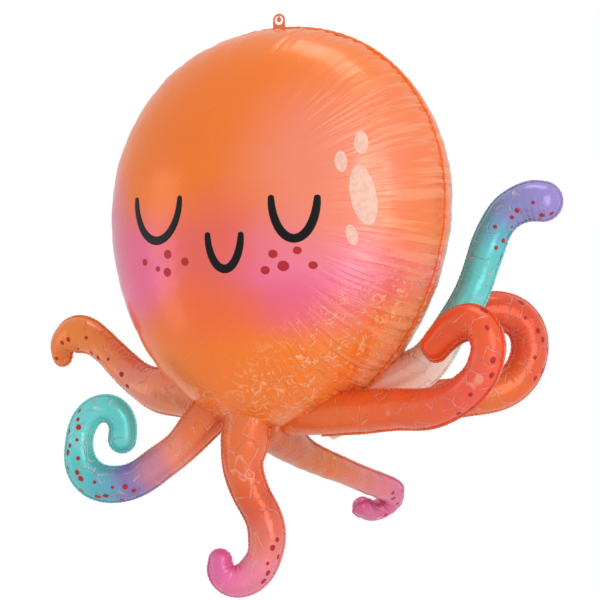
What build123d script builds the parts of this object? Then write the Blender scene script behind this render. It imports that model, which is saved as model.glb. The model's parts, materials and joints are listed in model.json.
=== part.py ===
from build123d import *
import os
from collections import namedtuple
from math import cos, pi, radians, sin, sqrt

# A hanging foil octopus balloon, in millimetres. +Z is up and the face looks along -Y. The origin is
# the middle of the hang hole. The head is two films sealed round a rim in the XZ plane, and each
# arm is two films sealed along its edges and joined to the head by a short neck.

os.makedirs("parts", exist_ok=True)

# ---- driving dimensions --------------------------------------------------------------------------
head_width = 540.0
head_depth = 370.0
crown_height = 273.0            # from the widest level up to the top
bowl_height = 323.0             # from the widest level down to the bottom
crown_fullness = 2.1            # exponent of the rounded outline: 2 is an ellipse, more is squarer
bowl_fullness = 1.9
belly_fullness = 2.6            # the lower half of the depth outline is fuller than the width's
crown_shift = 11.0              # the head leans: its top is a little to +X and its bottom to -X
bowl_shift = -13.0

film = 0.8                      # wall that stands in for the much thinner foil
seam_thickness = 0.8
rim_width = 5.0
edge_width = 3.0                # width of an arm's sealed edge outside the gas

tab_width = 20.0
tab_rise = 10.0                 # from the middle of the hole to the tab's top
tab_drop = 15.0                 # from the middle of the hole down to the head's top
hole_radius = 7.0
tongue_radius = 3.8
tongue_neck = 3.0
flap_gap = 0.5                  # free gap round the tongue, above the filling neck and at each hinge
tongue_rise = 1.0               # the tongue's middle above the hole's middle

valve_x = -55.0                 # on the rim, to the left of the bottom
valve_width = 24.0
tail_length = 56.0
valve_reach = 110.0             # how far the valve's films reach into the head

arm_axis_x = -12.0              # the arms' seats are laid out round this upright axis
stem_radius = 8.0               # an arm's film at its hinge, drawn in so that it clears the head
shoulder_length = 70.0          # from the hinge to where the arm has its path's radius
neck_clearance = 1.5            # between an arm's rounded root and its neck, for the arm's swing
neck_length = 115.0             # cut back to what stands outside the head

# An arm sits on the head at a plan angle and a height above the head's bottom. Its hinge is
# stand_off out and drop down from that seat. It lies in a plane that heads out at a plan angle,
# tilted about that heading. Its path is (out, rise, radius) from the hinge to the middle of the
# rounded tip, and the radii count in full from the shoulder on.
Arm = namedtuple("Arm", "seat_angle seat_rise stand_off drop heading tilt path")

arms = {
    "left_high": Arm(180, 51, 30, 0, 180, 0, [
        (0, 0, 35), (25, 2, 33), (60, 15, 26.5), (82, 30, 25), (107, 51, 23.5), (137, 75, 23.5),
        (157, 85, 26), (175, 87, 27), (192, 80, 25), (203, 66, 20), (204, 55, 16.5)]),
    "left_low": Arm(205, 25, 15, 26, 205, 0, [
        (0, 0, 27), (26, -29, 23.5), (57, -53, 24), (90, -76, 24), (125, -85, 25), (158, -77, 25),
        (175, -55, 22.5), (179, -25, 18.5), (171, 8, 18), (152, 27, 18), (129, 27, 19),
        (114, 8, 18.5), (114, -17, 18.5)]),
    "bottom": Arm(259, 9, 0, 37, 205, 0, [
        (0, 0, 32), (2, -18, 28.5), (-2, -43, 26.5), (-14, -73, 25), (-31, -108, 25),
        (-34, -135, 25), (-30, -160, 23), (-18, -181, 23.5), (-1, -194, 22.5), (18, -195, 21.5),
        (33, -182, 19), (35, -166, 15)]),
    "low_right": Arm(90, 4, 6, 31, 70, 45, [
        (0, 0, 28), (17, -10, 26), (64, -33, 23), (118, -55, 22), (192, -84, 20.5),
        (248, -106, 21), (288, -121, 21), (315, -134, 20), (332, -152, 18.5), (326, -175, 17.5),
        (302, -181, 17), (273, -168, 16)]),
    "right_front": Arm(-12, 28, 26, 0, -12, 0, [
        (0, 0, 32.5), (39, 1, 30.5), (112, 6, 27.5), (165, 9, 27), (200, 20, 25.5), (231, 38, 25),
        (255, 64, 25), (265, 95, 25), (260, 118, 24.5), (243, 131, 24), (219, 130, 24),
        (196, 118, 23.5), (175, 99, 22)]),
    "right_back": Arm(40, 33, 20, 0, 40, 0, [
        (0, 0, 31), (60, 2, 30), (117, 4, 29.5), (180, 11, 27.5), (229, 20, 27.5), (260, 41, 27.5),
        (275, 72, 27.5), (274, 107, 27.5), (258, 130, 27.5), (237, 140, 27.5), (213, 143, 26),
        (188, 135, 24.5), (170, 119, 22)]),
    "right_high": Arm(14, 64, 20, 0, 14, 0, [
        (0, 0, 34), (24, 12, 32), (61, 33, 28), (85, 62, 25), (106, 95, 23.5), (126, 128, 23.5),
        (148, 186, 23), (154, 204, 23.5), (167, 235, 22.5), (183, 256, 24), (205, 269, 26),
        (223, 273, 27.5), (236, 272, 27)]),
    "back_left": Arm(135, 27, 20, 15, 135, 0, [
        (0, 0, 28), (47, -4, 26), (92, 8, 24), (132, 40, 23), (155, 82, 23), (166, 125, 24),
        (182, 160, 25), (208, 178, 24.5), (232, 170, 23), (244, 148, 18)]),
}

cap_turns = (24, 48, 72)        # how far round an arm's round ends their sections stand, in degrees

# ---- derived places ------------------------------------------------------------------------------
head_top = -tab_drop
widest_z = head_top - crown_height
head_bottom = widest_z - bowl_height
head_height = crown_height + bowl_height


def rounded(share, fullness):
    """Height of a rounded outline at a share of its half-length: (1 - share^n)^(1/n)."""
    return max(0.0, 1.0 - share ** fullness) ** (1.0 / fullness)


def half_sizes(z):
    """The head's half-width and half-depth at a height."""
    if z > widest_z:
        share = min(1.0, (z - widest_z) / crown_height)
        wide, deep = rounded(share, crown_fullness), rounded(share, crown_fullness)
    else:
        share = min(1.0, (widest_z - z) / bowl_height)
        wide, deep = rounded(share, bowl_fullness), rounded(share, belly_fullness)
    return head_width / 2 * wide, head_depth / 2 * deep


def middle_x(z):
    """The head's middle at a height, on a straight leaning line."""
    share = (head_top - z) / head_height
    return crown_shift + (bowl_shift - crown_shift) * share


def head_solid(growth):
    """The whole head as one solid, grown outwards by a distance, lofted from top to bottom."""
    turns = [15, 30, 45, 60, 75, 90, 105, 120, 135, 150, 165]
    rings = [Vertex(middle_x(head_top), 0, head_top + growth)]
    for turn in turns:
        reach = crown_height if turn < 90 else bowl_height
        z = widest_z + reach * cos(radians(turn))
        half_width, half_depth = half_sizes(z)
        lift = growth * cos(radians(turn))
        wide = half_width + growth * sin(radians(turn))
        deep = half_depth + growth * sin(radians(turn))
        with BuildSketch(Plane((middle_x(z), 0, z + lift))) as ring:
            with BuildLine():
                points = [(wide * cos(pi * k / 8), deep * sin(pi * k / 8)) for k in range(16)]
                Spline(*points, periodic=True)
            make_face()
        rings.append(ring.sketch.face())
    rings.append(Vertex(middle_x(head_bottom), 0, head_bottom - growth))
    with BuildPart() as head:
        loft(rings)
    return head.part


def closed_face(points):
    """A flat face inside a smooth closed curve through some points."""
    with BuildSketch() as face:
        with BuildLine():
            Spline(*points, periodic=True)
        make_face()
    return face.sketch


def rim_outline(growth):
    """The head's outline in the rim's plane, grown outwards by a distance."""
    points = []
    for turn in range(0, 360, 10):
        level, side = cos(radians(turn)), sin(radians(turn))
        z = widest_z + level * (crown_height if level > 0 else bowl_height)
        half_width = half_sizes(z)[0] * (1 if side >= 0 else -1)
        points.append((middle_x(z) + half_width + growth * side, z + growth * level))
    return closed_face(points)


def seat(arm):
    """The arm's hinge: out and down from the point of the head's surface that it sits on."""
    z = head_bottom + arm.seat_rise
    half_width, half_depth = half_sizes(z)
    across, along = cos(radians(arm.seat_angle)), sin(radians(arm.seat_angle))
    reach = 1 / sqrt((across / half_width) ** 2 + (along / half_depth) ** 2) + arm.stand_off
    return Vector(arm_axis_x + reach * across, reach * along, z - arm.drop)


def arm_plane(arm):
    """The plane of the arm's sealed edges: x heads out from the hinge and y rises. A tilt leans y
    over, about x."""
    heading, tilt = radians(arm.heading), radians(arm.tilt)
    normal = (sin(heading) * cos(tilt), -cos(heading) * cos(tilt), -sin(tilt))
    return Plane(seat(arm), x_dir=(cos(heading), sin(heading), 0), z_dir=normal)


def arm_stations(arm, growth):
    """Places along an arm, as (middle, direction, radius), with a round end before and after. The
    film swells evenly from the stem at the hinge to the path's radius at the shoulder's end."""
    with BuildLine() as line:
        Spline(*[(out, rise) for out, rise, radius in arm.path])
    curve = line.edge()
    knots = [curve.param_at_point(Vector(out, rise)) for out, rise, radius in arm.path]
    radii = [radius for out, rise, radius in arm.path]
    shoulder = shoulder_length / curve.length

    def radius_at(place):
        k = max([0] + [n for n in range(len(knots) - 1) if knots[n] <= place])
        share = (place - knots[k]) / (knots[k + 1] - knots[k])
        full = radii[k] + (radii[k + 1] - radii[k]) * share
        return stem_radius + (full - stem_radius) * min(1.0, place / shoulder) + growth

    middles = [(before + after) / 2 for before, after in zip(knots, knots[1:])]
    places = sorted([0.0, 1.0, shoulder] + knots[1:-1] + middles)
    stations = []
    for turn in cap_turns[::-1]:
        beyond = (curve % 0) * -sin(radians(turn)) * radius_at(0.0)
        stations.append((curve @ 0 + beyond, curve % 0, radius_at(0.0) * cos(radians(turn))))
    for place in places:
        stations.append((curve @ place, curve % place, radius_at(place)))
    for turn in cap_turns:
        beyond = (curve % 1) * sin(radians(turn)) * radius_at(1.0)
        stations.append((curve @ 1 + beyond, curve % 1, radius_at(1.0) * cos(radians(turn))))
    root = curve @ 0 - (curve % 0) * radius_at(0.0)
    tip = curve @ 1 + (curve % 1) * radius_at(1.0)
    return root, stations, tip


def half_ring(station, side):
    """The film's section at a station: a half ring that stands clear of the sealed edge's plane."""
    middle, direction, radius = station
    edge = seam_thickness / 2
    ends = [(sqrt(reach ** 2 - edge ** 2), reach) for reach in (radius, radius - film)]
    (outer, outer_top), (inner, inner_top) = ends
    with BuildSketch(Plane(middle, x_dir=(-direction.Y, direction.X, 0), z_dir=direction)) as ring:
        with BuildLine():
            ThreePointArc((outer, side * edge), (0, side * outer_top), (-outer, side * edge))
            Line((-outer, side * edge), (-inner, side * edge))
            ThreePointArc((-inner, side * edge), (0, side * inner_top), (inner, side * edge))
            Line((inner, side * edge), (outer, side * edge))
        make_face()
    return ring.sketch.face()


def half_disc(station, side):
    """The flat end that closes a film's rounded end."""
    middle, direction, radius = station
    edge = seam_thickness / 2
    reach = sqrt(radius ** 2 - edge ** 2)
    with BuildSketch(Plane(middle, x_dir=(-direction.Y, direction.X, 0), z_dir=direction)) as disc:
        with BuildLine():
            ThreePointArc((reach, side * edge), (0, side * radius), (-reach, side * edge))
            Line((-reach, side * edge), (reach, side * edge))
        make_face()
    return disc.sketch.face()


def arm_outline(arm, growth):
    """The arm's outline in its own plane: up one side, round the tip and down the other."""
    root, stations, tip = arm_stations(arm, growth)
    one_side, other_side = [], []
    for middle, direction, radius in stations:
        across = Vector(-direction.Y, direction.X) * radius
        one_side.append(middle + across)
        other_side.append(middle - across)
    return closed_face([root] + one_side + [tip] + other_side[::-1])


def finish(piece, name):
    """Label a finished piece and write it."""
    piece.label = name
    export_step(piece, f"parts/{name}.step")


# ---- head ----------------------------------------------------------------------------------------
head_outside = head_solid(0)
head_inside = head_solid(-film)

for name, side in (("head_front_panel", 1), ("head_back_panel", -1)):
    edge_plane = Plane.XZ.offset(side * seam_thickness / 2)
    with BuildPart() as head_panel:
        add(head_outside)
        add(head_inside, mode=Mode.SUBTRACT)
        split(bisect_by=edge_plane, keep=Keep.TOP if side > 0 else Keep.BOTTOM)
    finish(head_panel.part, name)

with BuildPart() as head_rim_seam:
    with BuildSketch(Plane.XZ):
        add(rim_outline(rim_width))
        add(rim_outline(-film), mode=Mode.SUBTRACT)
    extrude(amount=seam_thickness / 2, both=True)
    # the valve's films and the filling neck pass through the rim here
    with Locations((valve_x, 0, head_bottom)):
        Box(valve_width + 2 * flap_gap, 2 * seam_thickness, bowl_height / 3, mode=Mode.SUBTRACT)
    # the tab takes the rim's place at the top
    with Locations((0, 0, head_top)):
        Box(tab_width, 2 * seam_thickness, 4 * rim_width, mode=Mode.SUBTRACT)
finish(head_rim_seam.part, "head_rim_seam")

# ---- hang tab ------------------------------------------------------------------------------------
with BuildPart() as hang_tab:
    with BuildSketch(Plane.XZ) as tab_outline:
        Circle(tab_rise)
        with Locations((0, head_top - rim_width)):
            Rectangle(tab_width, -head_top + rim_width, align=(Align.CENTER, Align.MIN))
    extrude(amount=seam_thickness / 2, both=True)
    add(head_inside, mode=Mode.SUBTRACT)
    with Locations(Plane.XZ):
        Hole(hole_radius)
finish(hang_tab.part, "hang_tab")

# The tongue is the flap that the half-cut hole leaves. It hangs in the hole from a thin neck.
with BuildPart() as tab_tongue:
    with BuildSketch(Plane.XZ):
        with Locations((0, tongue_rise)):
            Circle(tongue_radius)
        Rectangle(tongue_neck, hole_radius - flap_gap, align=(Align.CENTER, Align.MIN))
    extrude(amount=seam_thickness / 2, both=True)
finish(tab_tongue.part, "tab_tongue")

# ---- filling valve -------------------------------------------------------------------------------
valve_share = abs(valve_x - middle_x(head_bottom)) / (head_width / 2)
valve_z = widest_z - bowl_height * rounded(valve_share, bowl_fullness)
with BuildPart() as valve_tail:
    with Locations((valve_x, 0, valve_z - rim_width - flap_gap)):
        Box(valve_width, seam_thickness, tail_length, align=(Align.CENTER, Align.CENTER, Align.MAX))
finish(valve_tail.part, "valve_tail")

for name, side in (("valve_film_front", Align.MAX), ("valve_film_back", Align.MIN)):
    with BuildPart() as valve_film:
        with Locations((valve_x, 0, valve_z - rim_width)):
            Box(valve_width, seam_thickness / 2, valve_reach, align=(Align.CENTER, side, Align.MIN))
    finish(valve_film.part, name)

# ---- arms ----------------------------------------------------------------------------------------
for name, arm in arms.items():
    plane = arm_plane(arm)
    root, stations, tip = arm_stations(arm, 0)
    front = -1 if plane.z_dir.Y > 0 else 1
    for panel, side in (("front_panel", front), ("back_panel", -front)):
        with BuildPart() as arm_panel:
            loft([half_ring(station, side) for station in stations], ruled=True)
            for station, amount in ((stations[0], -film), (stations[-1], film)):
                extrude(half_disc(station, side), amount=amount)
        finish(plane.location * arm_panel.part, f"{name}_{panel}")

    with BuildPart() as arm_edge_seam:
        with BuildSketch():
            add(arm_outline(arm, edge_width))
            add(arm_outline(arm, -film), mode=Mode.SUBTRACT)
        extrude(amount=seam_thickness / 2, both=True)
        # the edge stops at the hinge, where the neck takes over
        behind = 4 * (stem_radius + edge_width)
        with Locations(Plane((0, 0, 0), x_dir=(0, 0, 1), z_dir=root)):
            Box(behind, behind, behind, align=(Align.CENTER, Align.CENTER, Align.MIN),
                mode=Mode.SUBTRACT)
    finish(plane.location * arm_edge_seam.part, f"{name}_edge_seam")

    # The neck cups the arm's round root and runs back through the head's film, which it is sealed to.
    neck_direction = plane.x_dir * root.X + plane.y_dir * root.Y
    neck_start = Plane(plane.origin, x_dir=plane.z_dir, z_dir=neck_direction).offset(flap_gap)
    with BuildPart() as arm_neck:
        with BuildSketch(neck_start):
            Circle(stem_radius + neck_clearance + film)
            Circle(stem_radius + neck_clearance, mode=Mode.SUBTRACT)
        extrude(amount=neck_length)
        add(head_inside, mode=Mode.SUBTRACT)
    finish(arm_neck.part, f"{name}_neck")
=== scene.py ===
import json
import math

import bpy
import numpy as np
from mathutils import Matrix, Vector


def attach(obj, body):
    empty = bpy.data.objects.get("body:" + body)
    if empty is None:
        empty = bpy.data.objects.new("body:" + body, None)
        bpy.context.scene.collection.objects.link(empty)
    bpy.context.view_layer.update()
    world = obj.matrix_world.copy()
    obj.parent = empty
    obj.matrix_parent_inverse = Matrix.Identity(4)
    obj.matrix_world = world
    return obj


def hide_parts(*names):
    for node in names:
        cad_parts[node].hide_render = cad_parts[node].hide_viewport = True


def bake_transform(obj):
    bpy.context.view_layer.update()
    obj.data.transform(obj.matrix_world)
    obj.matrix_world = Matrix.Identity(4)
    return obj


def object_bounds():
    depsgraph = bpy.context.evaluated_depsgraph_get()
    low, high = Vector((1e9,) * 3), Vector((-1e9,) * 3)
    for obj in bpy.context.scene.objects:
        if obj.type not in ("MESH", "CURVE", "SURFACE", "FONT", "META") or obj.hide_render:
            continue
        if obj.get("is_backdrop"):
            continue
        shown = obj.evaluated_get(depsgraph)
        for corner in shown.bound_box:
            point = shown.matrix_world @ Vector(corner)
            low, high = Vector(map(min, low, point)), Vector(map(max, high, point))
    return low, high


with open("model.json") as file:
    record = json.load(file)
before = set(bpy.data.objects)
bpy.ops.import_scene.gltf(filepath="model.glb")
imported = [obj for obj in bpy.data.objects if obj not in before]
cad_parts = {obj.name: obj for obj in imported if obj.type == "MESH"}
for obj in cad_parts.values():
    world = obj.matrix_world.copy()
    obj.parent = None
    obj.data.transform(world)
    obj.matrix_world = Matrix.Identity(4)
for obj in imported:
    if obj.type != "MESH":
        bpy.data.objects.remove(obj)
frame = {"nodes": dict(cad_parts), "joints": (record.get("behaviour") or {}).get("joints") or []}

# The looks of a hanging foil octopus balloon. Lengths in the numpy code are millimetres in the
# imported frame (+Z up, the face along -Y, origin in the middle of the hang hole).

bl_info = {
    "name": "Foil octopus balloon",
    "version": (1, 0, 0),
    "blender": (4, 5, 0),
    "location": "View3D > Sidebar > Balloon",
    "description": "Builds the puckered, printed films and the trim of a foil octopus balloon",
    "category": "Add Mesh",
}

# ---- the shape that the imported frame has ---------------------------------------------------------
HALF_WIDTH, HALF_DEPTH = 270.0, 185.0
CROWN_HEIGHT, BOWL_HEIGHT = 273.0, 323.0
CROWN_FULLNESS, BOWL_FULLNESS, BELLY_FULLNESS = 2.1, 1.9, 2.6
HEAD_TOP, CROWN_SHIFT, BOWL_SHIFT = -15.0, 11.0, -13.0
WIDEST_Z = HEAD_TOP - CROWN_HEIGHT
HEAD_HEIGHT = CROWN_HEIGHT + BOWL_HEIGHT
MEAN_RADIUS = 225.0             # turns a share of the head's outline into a distance over the film
FILM_THICKNESS = 0.4
HINGE_RUN = 105.0               # length of an arm's film inboard of its hinge
PRINT_LIFT = 0.2                # printed ink stands this far off the film

# Each arm: the plan angle that its plane heads out at, the plane's tilt, the path (out, rise,
# radius) from its hinge, and its colours from root to tip: its print, with painted shade in the
# darker first colours of low_right.
ARMS = {
    "left_high": (180, 0, [
        (0, 0, 35), (25, 2, 33), (60, 15, 26.5), (82, 30, 25), (107, 51, 23.5), (137, 75, 23.5),
        (157, 85, 26), (175, 87, 27), (192, 80, 25), (203, 66, 20), (204, 55, 16.5)],
        "F48E64 F29070 F09078 EE8868 EE8450 EE843E EE8438 EC7E34 EA7834"),
    "left_low": (205, 0, [
        (0, 0, 27), (26, -29, 23.5), (57, -53, 24), (90, -76, 24), (125, -85, 25), (158, -77, 25),
        (175, -55, 22.5), (179, -25, 18.5), (171, 8, 18), (152, 27, 18), (129, 27, 19),
        (114, 8, 18.5), (114, -17, 18.5)],
        "E8743F EC8A70 C88094 8478B2 58AEC2 58C6C4 70D2D0 6CD0CE 5CCAC8 62CCCA"),
    "bottom": (205, 0, [
        (0, 0, 32), (2, -18, 28.5), (-2, -43, 26.5), (-14, -73, 25), (-31, -108, 25),
        (-34, -135, 25), (-30, -160, 23), (-18, -181, 23.5), (-1, -194, 22.5), (18, -195, 21.5),
        (33, -182, 19), (35, -166, 15)],
        "E87038 E6683A E2602F DC5A38 E46C58 EA7C74 EC8290 EC7CA0 E870A4 DE689E"),
    "low_right": (70, 45, [
        (0, 0, 28), (17, -10, 26), (64, -33, 23), (118, -55, 22), (192, -84, 20.5),
        (248, -106, 21), (288, -121, 21), (315, -134, 20), (332, -152, 18.5), (326, -175, 17.5),
        (302, -181, 17), (273, -168, 16)],
        # The darker first colours of this arm are painted shade: its root lies behind, under the front
        # arm.
        "D0622A D86A2E E0702E E07250 E27C70 E47884 E06C92 DC689A D66494"),
    "right_front": (-12, 0, [
        (0, 0, 32.5), (39, 1, 30.5), (112, 6, 27.5), (165, 9, 27), (200, 20, 25.5), (231, 38, 25),
        (255, 64, 25), (265, 95, 25), (260, 118, 24.5), (243, 131, 24), (219, 130, 24),
        (196, 118, 23.5), (175, 99, 22)],
        "E46A2C E8662A E8622A E65E30 E85C38 E85640 EA5A3C E85626 E04E1E E24E1E"),
    "right_back": (40, 0, [
        (0, 0, 31), (60, 2, 30), (117, 4, 29.5), (180, 11, 27.5), (229, 20, 27.5), (260, 41, 27.5),
        (275, 72, 27.5), (274, 107, 27.5), (258, 130, 27.5), (237, 140, 27.5), (213, 143, 26),
        (188, 135, 24.5), (170, 119, 22)],
        "DC5C34 E45C3E E0583C D86030 E66A2A E8642C E85A36 E2502C DE4C20 DE521C"),
    "right_high": (14, 0, [
        (0, 0, 34), (24, 12, 32), (61, 33, 28), (85, 62, 25), (106, 95, 23.5), (126, 128, 23.5),
        (148, 186, 23), (154, 204, 23.5), (167, 235, 22.5), (183, 256, 24), (205, 269, 26),
        (223, 273, 27.5), (236, 272, 27)],
        "F8B49A F8C4B0 ECD0C2 A6D8D0 6ED0CE 64CCCA 62C8C8 5EACC2 848CC2 9886C8"),
    "back_left": (135, 0, [
        (0, 0, 28), (47, -4, 26), (92, 8, 24), (132, 40, 23), (155, 82, 23), (166, 125, 24),
        (182, 160, 25), (208, 178, 24.5), (232, 170, 23), (244, 148, 18)],
        "E46E36 E8764A E8806A E67C78 E4708C E06C9A C46CA4 9C70B0 8078BC"),
}

# Printed dots on the arms: the shares of the way to the tip that they lie between, the middle and
# half width of their band round the arm in degrees (0 and 180 are its sealed edges), how many.
DOTS = {
    "right_high": (0.62, 0.96, 128, 34, 10), "right_back": (0.54, 0.77, 126, 34, 9),
    "right_front": (0.44, 0.76, 160, 30, 9), "low_right": (0.65, 0.85, 70, 34, 7),
    "left_high": (0.22, 0.96, 242, 34, 12), "left_low": (0.30, 0.72, 236, 36, 19),
    "bottom": (0.46, 0.68, 230, 22, 6), "back_left": (0.50, 0.90, 250, 30, 8),
}
DOT_RADIUS, DOT_VARIATION = 3.3, 0.8

# The face, on the head film: each stroke hangs in half an ellipse from its top (middle X, top Z,
# half width, drop). A freckle is X, Z and radius. A glint is X, Z, its half sizes and its lean.
STROKES = {"left_eye": (-114, -268, 45, 65), "right_eye": (111, -270, 32, 62),
           "mouth": (7, -322, 27, 53)}
FRECKLES = [(-141, -364, 5), (-92, -353, 6.5), (-60, -364, 6), (-113, -374, 4), (-94, -379, 6.5),
            (81, -354, 6), (115, -349, 5.5), (95, -371, 7.5), (69, -377, 6), (135, -370, 5.5)]
GLINTS = [(199, -271, 15.5, 44, -9), (193, -196, 8.5, 17, -9), (171, -223, 8, 15.5, -9),
          (185, -327, 7, 15, -9)]


LENS, SENSOR_WIDTH = 144.0, 36.0

# ---- settings that a user can change -------------------------------------------------------------
class BalloonHeadSettings(bpy.types.PropertyGroup):
    pucker_pitch: bpy.props.FloatProperty(
        name="Pucker pitch", description="Mean width of a pucker beside the rim, in mm",
        default=17.0, min=6.0, max=60.0)
    pucker_depth: bpy.props.FloatProperty(
        name="Pucker depth", description="Height of the puckers beside the rim, in mm",
        default=4.2, min=0.0, max=8.0)
    pucker_reach: bpy.props.FloatProperty(
        name="Pucker reach", description="How far the puckers run in from the rim, in mm",
        default=34.0, min=5.0, max=120.0)
    fold_depth: bpy.props.FloatProperty(
        name="Fold depth", description="Height of the long soft folds, in mm",
        default=2.6, min=0.0, max=8.0)
    rim_width: bpy.props.FloatProperty(
        name="Rim width", description="Width of the sealed rim outside the gas, in mm",
        default=5.0, min=2.0, max=8.0)
    film_colour: bpy.props.FloatVectorProperty(
        name="Film", description="Main printed colour of the head (linear)", subtype="COLOR",
        default=(0.9, 0.185, 0.012), min=0.0, max=1.0)
    line_colour: bpy.props.FloatVectorProperty(
        name="Lines", description="Colour of the eyes and the mouth (linear)", subtype="COLOR",
        default=(0.003, 0.002, 0.002), min=0.0, max=1.0)
    spot_colour: bpy.props.FloatVectorProperty(
        name="Freckles", description="Colour of the freckles and dots (linear)", subtype="COLOR",
        default=(0.46, 0.022, 0.028), min=0.0, max=1.0)
    glint_colour: bpy.props.FloatVectorProperty(
        name="Glints", description="Colour of the printed pale patches (linear)", subtype="COLOR",
        default=(0.9, 0.52, 0.41), min=0.0, max=1.0)
    line_width: bpy.props.FloatProperty(
        name="Line width", description="Width of the eye and mouth strokes, in mm",
        default=12.5, min=3.0, max=20.0)


class BalloonArmSettings(bpy.types.PropertyGroup):
    pucker_pitch: bpy.props.FloatProperty(
        name="Pucker pitch", description="Mean width of a pucker beside an arm's edge, in mm",
        default=11.0, min=5.0, max=40.0)
    pucker_depth: bpy.props.FloatProperty(
        name="Pucker depth", description="Height of the puckers where an arm bends most, in mm",
        default=3.0, min=0.0, max=6.0)
    edge_width: bpy.props.FloatProperty(
        name="Edge width", description="Width of the sealed edge outside the gas, in mm",
        default=3.0, min=1.0, max=6.0)
    crease_depth: bpy.props.FloatProperty(
        name="Crease depth", description="Depth of the film's fine creases",
        default=0.0011, min=0.0, max=0.005, subtype="DISTANCE", unit="LENGTH")


class BalloonStageSettings(bpy.types.PropertyGroup):
    azimuth: bpy.props.FloatProperty(
        name="Azimuth", description="Where the camera stands round the object",
        default=math.radians(27.0), subtype="ANGLE")
    distance: bpy.props.FloatProperty(
        name="Distance", description="From the camera to the object's axis",
        default=3.6, min=1.0, subtype="DISTANCE", unit="LENGTH")
    key_power: bpy.props.FloatProperty(
        name="Key light", description="Power of the large softbox", default=19.5, min=0.0,
        subtype="POWER", unit="POWER")
    fill_power: bpy.props.FloatProperty(
        name="Fill light", description="Power of the fill softbox", default=12.0, min=0.0,
        subtype="POWER", unit="POWER")
    surround: bpy.props.FloatProperty(
        name="Surround", description="Strength of the even light from all round", default=0.79,
        min=0.0, max=2.0)
    ground_colour: bpy.props.FloatVectorProperty(
        name="Floor", description="Colour of the floor and backdrop (linear)", subtype="COLOR",
        default=(0.9, 0.9, 0.9), min=0.0, max=1.0)


# ---- meshes --------------------------------------------------------------------------------------
def skin(name, grid, uv=None, poles=True):
    """A closed mesh through a grid of points. Its columns wrap round. With poles, its first and last
    rows close at the first and last row's mean point; without, its rows wrap round as well."""
    rows, columns = grid.shape[:2]
    points = grid.reshape(-1, 3)
    index = np.arange(rows * columns).reshape(rows, columns)
    index = np.concatenate([index, index[:, :1]], axis=1)
    if uv is None:
        uv = np.zeros((rows, columns + 1, 2))
    if not poles:
        index = np.concatenate([index, index[:1]], axis=0)
    quads = np.stack([index[:-1, :-1], index[:-1, 1:], index[1:, 1:], index[1:, :-1]], -1)
    quads = quads.reshape(-1, 4)
    quad_uv = np.stack([uv[:-1, :-1], uv[:-1, 1:], uv[1:, 1:], uv[1:, :-1]], -2).reshape(-1, 4, 2)
    corners, corner_uv = quads.reshape(-1), quad_uv.reshape(-1, 2)
    sizes = np.full(len(quads), 4)
    if poles:
        first, last = len(points), len(points) + 1
        points = np.concatenate([points, grid[:1].mean(axis=1), grid[-1:].mean(axis=1)])
        tip = np.stack([index[0, 1:], index[0, :-1], np.full(columns, first)], -1)
        end = np.stack([index[-1, :-1], index[-1, 1:], np.full(columns, last)], -1)
        corners = np.concatenate([corners, tip.reshape(-1), end.reshape(-1)])
        middle_first, middle_last = (uv[0, 1:] + uv[0, :-1]) / 2, (uv[-1, 1:] + uv[-1, :-1]) / 2
        tip_uv = np.stack([uv[0, 1:], uv[0, :-1], middle_first], -2).reshape(-1, 2)
        end_uv = np.stack([uv[-1, :-1], uv[-1, 1:], middle_last], -2).reshape(-1, 2)
        corner_uv = np.concatenate([corner_uv, tip_uv, end_uv])
        sizes = np.concatenate([sizes, np.full(2 * columns, 3)])
    starts = np.concatenate([[0], np.cumsum(sizes)[:-1]])
    # The sum of the corner tetrahedra tells whether the faces look outwards.
    a, b, c = points[corners[starts]], points[corners[starts + 1]], points[corners[starts + 2]]
    volume = np.einsum("ij,ij->i", a, np.cross(b, c)).sum()
    fours = starts[sizes == 4]
    a, b, c = points[corners[fours]], points[corners[fours + 2]], points[corners[fours + 3]]
    volume += np.einsum("ij,ij->i", a, np.cross(b, c)).sum()
    if volume < 0:
        order = np.arange(len(corners))
        turned = np.repeat(starts, sizes) * 2 + np.repeat(sizes, sizes) - 1 - order
        corners, corner_uv = corners[turned], corner_uv[turned]
    mesh = bpy.data.meshes.new(name)
    mesh.vertices.add(len(points))
    mesh.vertices.foreach_set("co", (points / 1000.0).astype(np.float32).ravel())
    mesh.loops.add(len(corners))
    mesh.loops.foreach_set("vertex_index", corners.astype(np.int32))
    mesh.polygons.add(len(sizes))
    mesh.polygons.foreach_set("loop_start", starts.astype(np.int32))
    mesh.update(calc_edges=True)
    layer = mesh.uv_layers.new(name="UVMap")
    layer.data.foreach_set("uv", (corner_uv / 1000.0).astype(np.float32).ravel())
    mesh.shade_smooth()
    mesh.validate()
    piece = bpy.data.objects.new(name, mesh)
    bpy.context.scene.collection.objects.link(piece)
    return piece


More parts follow.
